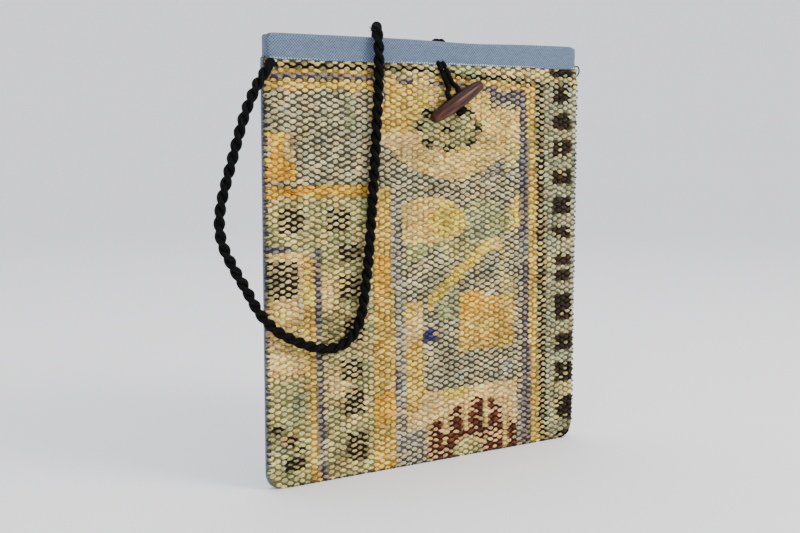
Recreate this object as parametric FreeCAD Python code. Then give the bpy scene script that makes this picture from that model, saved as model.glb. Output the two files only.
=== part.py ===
import FreeCAD, Part
import math
import os

from FreeCAD import Vector

# A flat carpet-front gift bag that stands upright, in millimetres. +X is to the right of the
# carpet front, +Y is to the back and +Z is up. The origin is the middle of the bag's base. The
# layers are stacked along Y, from the carpet to the cotton back.

# ---- bag body: overall sizes -------------------------------------------------------------------
BAG_HEIGHT = 381.0
RUG_WIDTH = 336.0
BAND_HEIGHT = 20.0
BAND_INSET = 3.5          # the cotton band ends this much inside the carpet's side
WALL_INSET = 1.0          # the cotton sides and back lie this much inside the carpet's side
CORNER_RADIUS = 14.0      # bottom corners of every panel

# ---- thickness of each layer -------------------------------------------------------------------
RUG_THICKNESS = 3.8
COTTON_THICKNESS = 0.8
LINING_THICKNESS = 0.4
INTERLINING_THICKNESS = 0.4
INNER_GAP = 4.6           # room inside the bag, from lining to lining
STIFFENER_THICKNESS = 1.6

# ---- handle ------------------------------------------------------------------------------------
ROPE_DIAMETER = 9.0
ROPE_NOTCH_WIDTH = 24.0   # corner cut-out where each end of the rope is sewn in
ROPE_NOTCH_HEIGHT = 23.0
ROPE_TAB_LENGTH = 11.0    # flattened end of the rope
ROPE_TAB_HEIGHT = 10.0
ROPE_TAB_THICKNESS = 3.4
TACK_THREAD = 1.2
TACK_BARS = 3             # bars of thread across each sewn end

# ---- toggle and its cord -----------------------------------------------------------------------
CORD_DIAMETER = 4.8
TOGGLE_LENGTH = 62.0
TOGGLE_DIAMETER = 14.0
TOGGLE_END_DIAMETER = 8.0
TOGGLE_TILT = 31.0        # slope of the toggle across the front, degrees
TOGGLE_X = 19.3
TOGGLE_DROP = 33.1        # toggle centre below the band's lower edge
TOGGLE_STANDOFF = 1.1     # air between the toggle and the carpet
HOLE_CLEARANCE = 0.2      # around the cord in the toggle's holes
HOLE_SPREAD = 7.0         # half distance between the two holes on the upper side
LEG_GAP = 0.1             # between the cord's two legs where they run side by side
LEG_START = 7.0           # from the neck's last centre to a leg's first one
NECK_SLANT = 5.0          # sideways run of the neck, towards the toggle
NECK_DROP = 8.6           # height of the neck, between the centres of its rounded ends
NECK_OFFSET = 11.6        # neck's top to the left of the toggle's middle
NECK_RISE = 0.3           # the neck comes this much forward on its way down
KNOT_WIDTH = 11.2
KNOT_HEIGHT = 5.6
KNOT_DEPTH = 8.8
KNOT_GAP = 0.1

# ---- closing loop on the back ------------------------------------------------------------------
LOOP_X = 17.0
LOOP_TAIL_LENGTH = 26.0   # sewn part, below the fold
LOOP_DROP = 66.0          # free part, hanging behind the back
LOOP_FOLD_RADIUS = 4.8
LOOP_FOLD_RISE = 1.6      # the fold's highest centre line above the rim
LOOP_EYE_WIDTH = 22.0     # between the centres of the eye's two sides
LOOP_EYE = [              # half width of the loop as a share of the eye's, and how far down
    (0.32, 0.25), (0.82, 0.55), (1.0, 0.8), (0.55, 1.0),
]
LOOP_JOINT_GAP = 0.3      # between the fold and the free loop's rounded start
BACK_CLEARANCE = 0.4      # between a cord and the cloth behind it

# ---- sewing thread -----------------------------------------------------------------------------
THREAD = 0.6
SIDE_STITCH_PITCH = 6.0
SIDE_STITCH_HEIGHT = 1.4
EDGE_STITCH_PITCH = 6.0
EDGE_STITCH_LENGTH = 3.4
BAND_STITCH_PITCH = 3.6
BAND_STITCH_LENGTH = 2.4
STITCH_MARGIN = 1.6       # from a seam line to its row of stitches

# ---- modelling ---------------------------------------------------------------------------------
SAME_PLACE = 1e-6         # two coordinates closer than this are equal
ARC_REACH = 0.45          # share of the shorter run that an arc of a cord's route takes up

# ---- places that follow from the sizes ---------------------------------------------------------
BAND_BOTTOM = BAG_HEIGHT - BAND_HEIGHT
RUG_HALF = RUG_WIDTH / 2
BAND_HALF = RUG_HALF - BAND_INSET
WALL_HALF = RUG_HALF - WALL_INSET
TOTAL_THICKNESS = (RUG_THICKNESS + INNER_GAP + 2 * LINING_THICKNESS
                   + INTERLINING_THICKNESS + COTTON_THICKNESS)
RUG_FRONT = -TOTAL_THICKNESS / 2
RUG_BACK = RUG_FRONT + RUG_THICKNESS
GAP_FRONT = RUG_BACK + LINING_THICKNESS
GAP_BACK = GAP_FRONT + INNER_GAP
LINING_BACK = GAP_BACK + LINING_THICKNESS
COTTON_FRONT = LINING_BACK + INTERLINING_THICKNESS
BACK_FACE = COTTON_FRONT + COTTON_THICKNESS
BAND_THICKNESS = 2 * COTTON_THICKNESS + STIFFENER_THICKNESS
BAND_FRONT = GAP_FRONT - BAND_THICKNESS

ROPE_RADIUS = ROPE_DIAMETER / 2
CORD_RADIUS = CORD_DIAMETER / 2
LEG_OFFSET = CORD_RADIUS + LEG_GAP

# The handle's route: sewn in at the left front corner, it hangs beside and in front of the bag,
# climbs over the rim, hangs behind the back and is sewn in at the right back corner.
HANDLE_ROUTE = [
    (-163.0, -6.0, 355.5), (-171.5, -7.3, 346.5), (-180.0, -9.2, 333.5), (-190.0, -11.0, 313.5),
    (-198.0, -12.0, 289.0), (-206.0, -12.3, 264.0), (-213.0, -12.4, 240.0), (-213.5, -12.4, 217.0),
    (-203.5, -12.4, 195.5), (-190.0, -12.4, 173.5), (-179.0, -12.4, 153.0), (-163.0, -12.4, 136.5),
    (-142.0, -12.4, 125.5), (-118.5, -12.4, 116.8), (-96.0, -12.4, 119.5), (-82.0, -12.4, 136.5),
    (-77.5, -12.4, 162.0), (-73.0, -12.4, 195.0), (-70.0, -12.4, 235.0), (-66.5, -12.4, 280.0),
    (-64.0, -12.4, 322.0), (-62.5, -12.6, 354.0), (-63.0, -13.0, 372.0), (-63.5, -12.4, 383.5),
    (-61.0, -5.8, 391.0), (-54.0, 5.2, 391.0), (-49.0, 12.9, 384.0), (-47.0, 13.8, 371.0),
    (-46.5, 13.5, 352.0), (-44.0, 12.8, 328.0), (-38.0, 12.4, 303.0), (-28.0, 12.2, 281.0),
    (-12.0, 12.2, 264.0), (9.0, 12.2, 253.0), (34.0, 12.2, 248.0), (62.0, 12.2, 247.0),
    (90.0, 12.2, 251.0), (117.0, 12.2, 259.0), (140.0, 12.2, 270.5), (158.0, 12.2, 285.5),
    (169.0, 11.6, 303.0), (173.5, 9.8, 321.0), (172.5, 7.2, 337.5), (166.5, 5.0, 349.5),
    (156.5, 3.9, 356.5),
]


# ---- small helpers -----------------------------------------------------------------------------
def block(x0, x1, y0, y1, z0, z1):
    """A box between two corners."""
    return Part.makeBox(x1 - x0, y1 - y0, z1 - z0, Vector(x0, y0, z0))


def panel(half, y0, y1, z0, z1, radius):
    """An upright sheet whose two bottom corners are rounded."""
    sheet = block(-half, half, y0, y1, z0, z1)
    corners = [e for e in sheet.Edges
               if all(abs(v.Z - z0) < SAME_PLACE for v in e.Vertexes)
               and abs(e.Vertexes[0].X - e.Vertexes[1].X) < SAME_PLACE]
    return sheet.makeFillet(radius, corners)


def rounded_path(points):
    """Straight runs joined by tangent arcs, with the arcs' radii."""
    pts = [Vector(*p) for p in points]
    edges, radii = [], []
    start = pts[0]
    for before, corner, after in zip(pts, pts[1:], pts[2:]):
        run_in = corner - before
        run_out = after - corner
        reach = ARC_REACH * min(run_in.Length, run_out.Length)
        half_turn = run_in.getAngle(run_out) / 2
        radii.append(reach / math.tan(half_turn))
        into = Vector(run_in).normalize()
        out = Vector(run_out).normalize()
        arc_start = corner - into * reach
        arc_end = corner + out * reach
        inward = (out - into).normalize()
        centre = corner + inward * math.hypot(reach, radii[-1])
        middle = centre - inward * radii[-1]
        edges.append(Part.LineSegment(start, arc_start).toShape())
        edges.append(Part.Arc(arc_start, middle, arc_end).toShape())
        start = arc_end
    edges.append(Part.LineSegment(start, pts[-1]).toShape())
    return Part.Wire(edges), radii


def tube(name, points, radius, round_start=False, round_end=False):
    """A cord's solid along its route. The radii, the length and the volume are printed."""
    path, radii = rounded_path(points)
    first = Vector(*points[0])
    along = Vector(*points[1]) - first
    disc = Part.Wire([Part.makeCircle(radius, first, along)])
    solid = path.makePipeShell([disc], True, False)
    ideal = math.pi * radius ** 2 * path.Length
    smallest = min(radii) / (2 * radius) if radii else float("inf")
    print(f"{name}: length {path.Length:.1f}, radii from {smallest:.1f} diameters,"
          f" volume {solid.Volume / ideal:.4f} of section x length")
    for wanted, place in ((round_start, points[0]), (round_end, points[-1])):
        if wanted:
            solid = solid.fuse(Part.makeSphere(radius, Vector(*place)))
    return solid.removeSplitter()


def row_of_stitches(start, pitch, count, size):
    """A straight row of equal thread bars, as separate solids."""
    bars = []
    for number in range(count):
        corner = start + pitch * number
        bars.append(Part.makeBox(size.x, size.y, size.z, corner - size / 2))
    return Part.makeCompound(bars)


def save(name, shape):
    """Writes one sub-part."""
    shape.exportStep(os.path.join("parts", name + ".step"))
    print(f"{name}: {len(shape.Solids)} solid(s), {shape.Volume:.0f} mm3")


# ---- body of the bag ---------------------------------------------------------------------------
def rug_panel():
    """The carpet front. Its left top corner is cut away for the handle's end."""
    rug = panel(RUG_HALF, RUG_FRONT, RUG_BACK, 0, BAND_BOTTOM, CORNER_RADIUS)
    return rug.cut(block(-RUG_HALF, -RUG_HALF + ROPE_NOTCH_WIDTH, RUG_FRONT, RUG_BACK,
                         BAND_BOTTOM - ROPE_NOTCH_HEIGHT, BAND_BOTTOM))


def front_lining():
    """The lining behind the carpet."""
    inner = WALL_HALF - COTTON_THICKNESS
    return panel(inner, RUG_BACK, GAP_FRONT, COTTON_THICKNESS, BAND_BOTTOM,
                 CORNER_RADIUS - WALL_INSET - COTTON_THICKNESS)


def back_corner():
    """The right top corner that every back layer leaves out for the handle's end."""
    return block(RUG_HALF - ROPE_NOTCH_WIDTH, RUG_HALF, GAP_FRONT, BACK_FACE,
                 BAND_BOTTOM - ROPE_NOTCH_HEIGHT, BAND_BOTTOM)


def back_lining():
    """The lining in front of the interlining."""
    inner = WALL_HALF - COTTON_THICKNESS
    sheet = panel(inner, GAP_BACK, LINING_BACK, COTTON_THICKNESS, BAND_BOTTOM,
                  CORNER_RADIUS - WALL_INSET - COTTON_THICKNESS)
    return sheet.cut(back_corner())


def back_interlining():
    """The stiffening sheet between the lining and the cotton back."""
    inner = WALL_HALF - COTTON_THICKNESS
    sheet = panel(inner, LINING_BACK, COTTON_FRONT, COTTON_THICKNESS, BAND_BOTTOM,
                  CORNER_RADIUS - WALL_INSET - COTTON_THICKNESS)
    return sheet.cut(back_corner())


def back_panel():
    """The cotton back, from the base to the rim."""
    sheet = panel(WALL_HALF, COTTON_FRONT, BACK_FACE, 0, BAND_BOTTOM, CORNER_RADIUS - WALL_INSET)
    top = block(-BAND_HALF, BAND_HALF, COTTON_FRONT, BACK_FACE, BAND_BOTTOM, BAG_HEIGHT)
    return sheet.cut(back_corner()).fuse(top).removeSplitter()


def back_hem():
    """The back's top edge turned to the inside."""
    return block(-BAND_HALF + COTTON_THICKNESS, BAND_HALF - COTTON_THICKNESS,
                 COTTON_FRONT - COTTON_THICKNESS, COTTON_FRONT, BAND_BOTTOM, BAG_HEIGHT)


def wall_strip():
    """The narrow cotton strip between carpet and back: up one side, over to the other."""
    outside = panel(WALL_HALF, RUG_BACK, COTTON_FRONT, 0, BAND_BOTTOM, CORNER_RADIUS - WALL_INSET)
    inside = panel(WALL_HALF - COTTON_THICKNESS, RUG_BACK, COTTON_FRONT, COTTON_THICKNESS,
                   BAND_BOTTOM, CORNER_RADIUS - WALL_INSET - COTTON_THICKNESS)
    return outside.cut(inside)


def side_strip(side):
    """The wall strip of one side, with its bottom corner."""
    edge = WALL_HALF - CORNER_RADIUS
    x0, x1 = (edge, RUG_HALF) if side > 0 else (-RUG_HALF, -edge)
    strip = wall_strip().common(block(x0, x1, RUG_BACK, COTTON_FRONT, 0, BAND_BOTTOM))
    return strip.cut(back_corner())


def base_strip():
    """The wall strip under the bag, between the two corners."""
    edge = WALL_HALF - CORNER_RADIUS
    return wall_strip().common(block(-edge, edge, RUG_BACK, COTTON_FRONT, 0, CORNER_RADIUS))


def side_lining(side):
    """The lining of one side strip, above its rounded corner."""
    outer = WALL_HALF - COTTON_THICKNESS
    x0, x1 = sorted((side * outer, side * (outer - LINING_THICKNESS)))
    return block(x0, x1, GAP_FRONT, GAP_BACK, CORNER_RADIUS, BAND_BOTTOM - ROPE_NOTCH_HEIGHT)


def base_lining():
    """The lining of the base strip."""
    edge = WALL_HALF - CORNER_RADIUS
    return block(-edge, edge, GAP_FRONT, GAP_BACK, COTTON_THICKNESS,
                 COTTON_THICKNESS + LINING_THICKNESS)


# ---- top band ----------------------------------------------------------------------------------
def front_band():
    """The folded cotton band on top of the carpet, hollow for its stiffener."""
    band = block(-BAND_HALF, BAND_HALF, BAND_FRONT, GAP_FRONT, BAND_BOTTOM, BAG_HEIGHT)
    top = [e for e in band.Edges
           if all(abs(v.Z - BAG_HEIGHT) < SAME_PLACE for v in e.Vertexes)
           and abs(e.Vertexes[0].Y - e.Vertexes[1].Y) < SAME_PLACE]
    band = band.makeFillet(COTTON_THICKNESS, top)
    return band.cut(band_pocket())


def band_pocket():
    """The space inside the folded band."""
    return block(-BAND_HALF + COTTON_THICKNESS, BAND_HALF - COTTON_THICKNESS,
                 BAND_FRONT + COTTON_THICKNESS, GAP_FRONT - COTTON_THICKNESS,
                 BAND_BOTTOM, BAG_HEIGHT - COTTON_THICKNESS)


def cord_tail():
    """The flattened ends of the toggle's cord, sewn in inside the band."""
    centre = neck_ends()[0].x
    half = CORD_DIAMETER + LEG_GAP
    return block(centre - half, centre + half,
                 BAND_FRONT + COTTON_THICKNESS, GAP_FRONT - COTTON_THICKNESS,
                 BAND_BOTTOM, BAND_BOTTOM + BAND_HEIGHT / 2)


def band_stiffener():
    """The strip that keeps the band straight, cut out round the cord's sewn ends."""
    return band_pocket().cut(cord_tail())


def band_end(side):
    """The band's return at one side of the mouth, from the front band to the back."""
    x0, x1 = sorted((side * BAND_HALF, side * (BAND_HALF - COTTON_THICKNESS)))
    return block(x0, x1, GAP_FRONT, COTTON_FRONT, BAND_BOTTOM, BAG_HEIGHT)


# ---- stitches ----------------------------------------------------------------------------------
def side_stitches(side):
    """The dark overcast stitches along one side edge of the carpet."""
    span = BAND_BOTTOM - ROPE_NOTCH_HEIGHT - 2 * CORNER_RADIUS
    count = int(span / SIDE_STITCH_PITCH)
    start = Vector(side * (RUG_HALF + THREAD / 2), (RUG_FRONT + RUG_BACK) / 2, 2 * CORNER_RADIUS)
    return row_of_stitches(start, Vector(0, 0, SIDE_STITCH_PITCH), count,
                           Vector(THREAD, RUG_THICKNESS, SIDE_STITCH_HEIGHT))


def base_stitches():
    """The dark stitches along the carpet's bottom edge."""
    span = 2 * (RUG_HALF - 2 * CORNER_RADIUS)
    count = int(span / EDGE_STITCH_PITCH)
    start = Vector(-span / 2, RUG_FRONT - THREAD / 2, STITCH_MARGIN)
    return row_of_stitches(start, Vector(EDGE_STITCH_PITCH, 0, 0), count,
                           Vector(EDGE_STITCH_LENGTH, THREAD, THREAD))


def band_row(y):
    """A row of fine stitches that holds a band's lower edge, on the face at y."""
    span = 2 * (BAND_HALF - STITCH_MARGIN)
    count = int(span / BAND_STITCH_PITCH)
    start = Vector(-span / 2 + BAND_STITCH_LENGTH, y, BAND_BOTTOM + STITCH_MARGIN)
    return row_of_stitches(start, Vector(BAND_STITCH_PITCH, 0, 0), count,
                           Vector(BAND_STITCH_LENGTH, THREAD, THREAD))


# ---- handle ------------------------------------------------------------------------------------
def handle_rope():
    """The twisted rope, from one corner to the other."""
    return tube("handle_rope", HANDLE_ROUTE, ROPE_RADIUS)


def handle_end(side, rope):
    """The rope's flattened end beside its first or last point, sewn into its corner."""
    x, y, z = HANDLE_ROUTE[0] if side < 0 else HANDLE_ROUTE[-1]
    y0 = RUG_BACK - ROPE_TAB_THICKNESS if side < 0 else GAP_FRONT
    x0, x1 = sorted((x - side * ROPE_RADIUS / 2, x - side * (ROPE_RADIUS / 2 + ROPE_TAB_LENGTH)))
    tab = block(x0, x1, y0, y0 + ROPE_TAB_THICKNESS,
                BAND_BOTTOM - ROPE_TAB_HEIGHT, BAND_BOTTOM)
    return tab.cut(rope)


def handle_tack(side, end):
    """Bars of thread across the rope's flattened end."""
    tab = end.BoundBox
    y = tab.YMin - TACK_THREAD / 2 if side < 0 else tab.YMax + TACK_THREAD / 2
    step = (tab.XMax - tab.XMin) / (TACK_BARS + 1)
    start = Vector(tab.XMin + step, y, (tab.ZMin + tab.ZMax) / 2)
    return row_of_stitches(start, Vector(step, 0, 0), TACK_BARS,
                           Vector(TACK_THREAD, TACK_THREAD, ROPE_TAB_HEIGHT - 2 * TACK_THREAD))


# ---- toggle, its cord and its knot -------------------------------------------------------------
def toggle_centre():
    """The middle of the toggle, in front of the carpet."""
    return Vector(TOGGLE_X, RUG_FRONT - TOGGLE_STANDOFF - TOGGLE_DIAMETER / 2,
                  BAND_BOTTOM - TOGGLE_DROP)


def toggle_frame(along, across):
    """A point in the toggle's own directions: along its axis, and across it, down the front."""
    tilt = math.radians(TOGGLE_TILT)
    u = Vector(math.cos(tilt), 0, math.sin(tilt))
    v = Vector(math.sin(tilt), 0, -math.cos(tilt))
    return toggle_centre() + u * along + v * across


def neck_ends():
    """The two ends of the cord's neck, from the band down to the place where the legs part."""
    depth = RUG_FRONT - BACK_CLEARANCE - CORD_RADIUS
    top = Vector(TOGGLE_X - NECK_OFFSET, depth, BAND_BOTTOM - LEG_OFFSET - CORD_RADIUS)
    bottom = top + Vector(NECK_SLANT, -NECK_RISE, -NECK_DROP)
    return top, bottom


def neck_side():
    """The direction across the neck, in the plane of the front."""
    top, bottom = neck_ends()
    down = (bottom - top).normalize()
    return Vector(-down.z, 0, down.x)


def cord_neck():
    """The short stretch where the two legs of the cord run side by side."""
    top, bottom = neck_ends()
    legs = []
    for side in (-1, 1):
        shift = neck_side() * (side * LEG_OFFSET)
        ends = [top + shift, bottom + shift]
        leg = Part.makeCylinder(CORD_RADIUS, (ends[1] - ends[0]).Length, ends[0], ends[1] - ends[0])
        for end in ends:
            leg = leg.fuse(Part.makeSphere(CORD_RADIUS, end))
        legs.append(leg.removeSplitter())
    return Part.makeCompound(legs)


def leg_points(side):
    """The route of one leg: from the neck, through the toggle, into the knot."""
    top, bottom = neck_ends()
    down = (bottom - top).normalize()
    start = bottom + down * LEG_START + neck_side() * (side * LEG_OFFSET)
    mouth = toggle_frame(side * HOLE_SPREAD, -TOGGLE_DIAMETER / 2 - CORD_DIAMETER)
    end = toggle_frame(side * LEG_OFFSET, TOGGLE_DIAMETER / 2 + KNOT_GAP + KNOT_HEIGHT / 3)
    return start, mouth, end


def cord_leg(side):
    """One leg of the toggle's cord, below the neck."""
    points = [tuple(p) for p in leg_points(side)]
    name = "toggle_cord_right" if side > 0 else "toggle_cord_left"
    return tube(name, points, CORD_RADIUS, round_start=True)


def toggle():
    """The turned wooden spindle with its two slanting holes, which meet on the lower side."""
    end = TOGGLE_END_DIAMETER / 2
    half = TOGGLE_LENGTH / 2
    bevel = end / 4
    outline = [Vector(0, 0, -half), Vector(end - bevel, 0, -half), Vector(end, 0, -half + bevel)]
    belly = Part.Arc(outline[-1], Vector(TOGGLE_DIAMETER / 2, 0, 0), Vector(end, 0, half - bevel))
    edges = [Part.LineSegment(a, b).toShape() for a, b in zip(outline, outline[1:])]
    edges.append(belly.toShape())
    edges.append(Part.LineSegment(Vector(end, 0, half - bevel), Vector(end - bevel, 0, half)).toShape())
    edges.append(Part.LineSegment(Vector(end - bevel, 0, half), Vector(0, 0, half)).toShape())
    edges.append(Part.LineSegment(Vector(0, 0, half), outline[0]).toShape())
    spindle = Part.Face(Part.Wire(edges)).revolve(Vector(0, 0, 0), Vector(0, 0, 1), 360)
    spindle.rotate(Vector(0, 0, 0), Vector(0, 1, 0), 90 - TOGGLE_TILT)
    spindle.translate(toggle_centre())
    for side in (-1, 1):
        start, mouth, end_point = leg_points(side)
        drill = end_point - mouth
        spindle = spindle.cut(Part.makeCylinder(CORD_RADIUS + HOLE_CLEARANCE,
                                                drill.Length + 2 * CORD_RADIUS,
                                                mouth - drill.normalize() * CORD_RADIUS, drill))
    return spindle


def toggle_knot(legs):
    """The knot under the toggle, a flattened ball with its two legs let in."""
    ball = Part.makeSphere(1.0)
    stretch = FreeCAD.Matrix()
    stretch.scale(KNOT_WIDTH / 2, KNOT_DEPTH / 2, KNOT_HEIGHT / 2)
    ball = ball.transformGeometry(stretch)
    ball.rotate(Vector(0, 0, 0), Vector(0, 1, 0), -TOGGLE_TILT)
    ball.translate(toggle_frame(0, TOGGLE_DIAMETER / 2 + KNOT_GAP + KNOT_HEIGHT / 2))
    for leg in legs:
        ball = ball.cut(leg)
    return ball


# ---- closing loop ------------------------------------------------------------------------------
def loop_depth():
    """The Y of the loop's sewn legs, behind the back and its row of stitches."""
    return BACK_FACE + THREAD + BACK_CLEARANCE + CORD_RADIUS


def loop_fold_height():
    """The height of the fold's centre."""
    return BAG_HEIGHT + LOOP_FOLD_RISE - LOOP_FOLD_RADIUS


def loop_tail(side):
    """One sewn leg of the loop with its fold over the back's rim."""
    x = LOOP_X + side * LEG_OFFSET
    y = loop_depth()
    z = loop_fold_height()
    low = Vector(x, y, z - LOOP_TAIL_LENGTH)
    high = Vector(x, y, z)
    crown = Vector(x, y + LOOP_FOLD_RADIUS, z + LOOP_FOLD_RADIUS)
    over = Vector(x, y + 2 * LOOP_FOLD_RADIUS, z)
    path = Part.Wire([Part.LineSegment(low, high).toShape(), Part.Arc(high, crown, over).toShape()])
    disc = Part.Wire([Part.makeCircle(CORD_RADIUS, low, high - low)])
    return path.makePipeShell([disc], True, False)


def loop_tails():
    """Both sewn legs, as separate solids."""
    return Part.makeCompound([loop_tail(-1), loop_tail(1)])


def loop_points():
    """The free loop's route: down one side of the eye and up the other."""
    y = loop_depth() + 2 * LOOP_FOLD_RADIUS
    top = loop_fold_height() - CORD_RADIUS - LOOP_JOINT_GAP
    half = LOOP_EYE_WIDTH / 2
    left = [(LEG_OFFSET, 0.0)] + [(half * share, drop) for share, drop in LOOP_EYE]
    down = [(LOOP_X - dx, y, top - drop * LOOP_DROP) for dx, drop in left]
    up = [(LOOP_X + dx, y, top - drop * LOOP_DROP) for dx, drop in reversed(left)]
    return down + up


def closing_loop():
    """The free loop that drops over the toggle to close the bag."""
    return tube("closing_loop", loop_points(), CORD_RADIUS, round_start=True, round_end=True)


def loop_tack():
    """Bars of thread across the loop's sewn legs."""
    half = CORD_DIAMETER + LEG_GAP
    y = loop_depth() + CORD_RADIUS + TACK_THREAD / 2
    low = loop_fold_height() - LOOP_TAIL_LENGTH
    step = LOOP_TAIL_LENGTH / (TACK_BARS + 1)
    return row_of_stitches(Vector(LOOP_X, y, low + step), Vector(0, 0, step), TACK_BARS - 1,
                           Vector(2 * half, TACK_THREAD, TACK_THREAD))


# ---- build -------------------------------------------------------------------------------------
def main():
    os.makedirs("parts", exist_ok=True)
    save("rug_panel", rug_panel())
    save("front_lining", front_lining())
    save("back_lining", back_lining())
    save("back_interlining", back_interlining())
    save("back_panel", back_panel())
    save("back_hem", back_hem())
    save("base_strip", base_strip())
    save("base_lining", base_lining())
    save("front_band", front_band())
    save("band_stiffener", band_stiffener())
    save("base_stitches", base_stitches())
    save("band_stitches", band_row(BAND_FRONT - THREAD / 2))
    save("back_hem_stitches", band_row(BACK_FACE + THREAD / 2))
    rope = handle_rope()
    save("handle_rope", rope)
    legs = [cord_leg(-1), cord_leg(1)]
    for side, word, leg in ((-1, "left", legs[0]), (1, "right", legs[1])):
        save(f"side_strip_{word}", side_strip(side))
        save(f"side_lining_{word}", side_lining(side))
        save(f"band_end_{word}", band_end(side))
        save(f"side_stitches_{word}", side_stitches(side))
        end = handle_end(side, rope)
        save(f"handle_end_{word}", end)
        save(f"handle_tack_{word}", handle_tack(side, end))
        save(f"toggle_cord_{word}", leg)
    save("toggle_cord_tail", cord_tail())
    save("toggle_cord_neck", cord_neck())
    save("toggle", toggle())
    save("toggle_knot", toggle_knot(legs))
    save("closing_loop_tails", loop_tails())
    save("closing_loop", closing_loop())
    save("closing_loop_tack", loop_tack())


main()
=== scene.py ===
import math
import random

import bmesh
import bpy
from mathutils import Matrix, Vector, noise


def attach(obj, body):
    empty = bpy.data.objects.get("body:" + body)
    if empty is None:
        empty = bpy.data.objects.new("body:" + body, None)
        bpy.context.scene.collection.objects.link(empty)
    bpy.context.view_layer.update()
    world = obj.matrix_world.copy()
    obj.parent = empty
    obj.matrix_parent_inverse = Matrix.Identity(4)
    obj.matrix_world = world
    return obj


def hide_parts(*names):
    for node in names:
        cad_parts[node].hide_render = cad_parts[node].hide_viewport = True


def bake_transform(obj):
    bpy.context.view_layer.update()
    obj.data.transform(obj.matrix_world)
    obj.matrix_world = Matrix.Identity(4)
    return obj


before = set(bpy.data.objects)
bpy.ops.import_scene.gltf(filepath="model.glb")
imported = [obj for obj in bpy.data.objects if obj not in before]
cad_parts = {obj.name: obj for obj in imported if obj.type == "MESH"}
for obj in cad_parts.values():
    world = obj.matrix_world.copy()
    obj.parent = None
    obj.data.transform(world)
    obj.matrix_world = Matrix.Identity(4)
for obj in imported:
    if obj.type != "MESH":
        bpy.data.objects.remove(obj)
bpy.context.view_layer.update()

# A flat carpet-front gift bag. +X is to the right of the carpet front, +Y to the back, +Z up.
# Sizes in the tables are millimetres and are turned into metres where a mesh is made.
MM = 0.001

# ---- camera ------------------------------------------------------------------------------------
CAMERA_PLACE = (-0.6164, -0.8882, 0.3042)
CAMERA_TURN = (83.44, 0.0, -33.30)      # degrees
CAMERA_LENS = 54.0
SENSOR = 36.0

# ---- bag ---------------------------------------------------------------------------------------
BAG_HEIGHT = 381.0
BAND_BOTTOM = 361.0
BAND_HALF = 164.5
RUG_HALF = 168.0
WALL_HALF = 167.0
CORNER = 14.0
RUG_FRONT = -5.2
RUG_BACK = -1.4
BAND_FRONT = -4.2
BAND_BACK = -1.0
BACK_FACE = 5.2
COTTON = 0.8
LINING = 0.4

# ---- carpet knots ------------------------------------------------------------------------------
COLUMNS = 58
ROWS = 69
COLUMN_PITCH = 2 * RUG_HALF / COLUMNS
ROW_PITCH = BAND_BOTTOM / ROWS

# ---- handle ------------------------------------------------------------------------------------
ROPE_DIAMETER = 9.0
ROPE_PITCH = 21.6         # one full turn of the two strands
HANDLE_ROUTE = [
    (-163.0, -6.0, 355.5), (-171.5, -7.3, 346.5), (-180.0, -9.2, 333.5), (-190.0, -11.0, 313.5),
    (-198.0, -12.0, 289.0), (-206.0, -12.3, 264.0), (-213.0, -12.4, 240.0), (-213.5, -12.4, 217.0),
    (-203.5, -12.4, 195.5), (-190.0, -12.4, 173.5), (-179.0, -12.4, 153.0), (-163.0, -12.4, 136.5),
    (-142.0, -12.4, 125.5), (-118.5, -12.4, 116.8), (-96.0, -12.4, 119.5), (-82.0, -12.4, 136.5),
    (-77.5, -12.4, 162.0), (-73.0, -12.4, 195.0), (-70.0, -12.4, 235.0), (-66.5, -12.4, 280.0),
    (-64.0, -12.4, 322.0), (-62.5, -12.6, 354.0), (-63.0, -13.0, 372.0), (-63.5, -12.4, 383.5),
    (-61.0, -5.8, 391.0), (-54.0, 5.2, 391.0), (-49.0, 12.9, 384.0), (-47.0, 13.8, 371.0),
    (-46.5, 13.5, 352.0), (-44.0, 12.8, 328.0), (-38.0, 12.4, 303.0), (-28.0, 12.2, 281.0),
    (-12.0, 12.2, 264.0), (9.0, 12.2, 253.0), (34.0, 12.2, 248.0), (62.0, 12.2, 247.0),
    (90.0, 12.2, 251.0), (117.0, 12.2, 259.0), (140.0, 12.2, 270.5), (158.0, 12.2, 285.5),
    (169.0, 11.6, 303.0), (173.5, 9.8, 321.0), (172.5, 7.2, 337.5), (166.5, 5.0, 349.5),
    (156.5, 3.9, 356.5),
]

# ---- toggle and its cord -----------------------------------------------------------------------
CORD_DIAMETER = 4.8
LEG_OFFSET = 2.5
TOGGLE_CENTRE = (19.3, -13.3, 327.9)
TOGGLE_TILT = 31.0
TOGGLE_LENGTH = 62.0
TOGGLE_DIAMETER = 14.0
TOGGLE_END = 8.0
NECK_TOP = (7.7, -8.0, 356.1)
NECK_BOTTOM = (12.7, -8.3, 347.5)
LEG_START = 7.0
HOLE_SPREAD = 7.0
KNOT_HEIGHT = 5.6

# ---- closing loop ------------------------------------------------------------------------------
LOOP_X = 17.0
LOOP_Y = 18.2
LOOP_TOP = 375.1          # the height where the free loop folds
LOOP_HALF_WIDTH = 11.0

rng = random.Random(11)


# ---- small helpers -----------------------------------------------------------------------------
def linear(rgb):
    """An sRGB colour from 0 to 255, as linear values."""
    out = []
    for value in rgb:
        c = value / 255
        out.append(c / 12.92 if c <= 0.04045 else ((c + 0.055) / 1.055) ** 2.4)
    return (*out, 1.0)


def make_object(name, verts, faces, material, smooth=True):
    """A mesh object from millimetre points, at the origin."""
    mesh = bpy.data.meshes.new(name)
    mesh.from_pydata([tuple(c * MM for c in v) for v in verts], [], faces)
    mesh.validate()
    mesh.polygons.foreach_set("use_smooth", [smooth] * len(mesh.polygons))
    mesh.materials.append(material)
    mesh.update()
    obj = bpy.data.objects.new(name, mesh)
    bpy.context.collection.objects.link(obj)
    return obj


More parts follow.
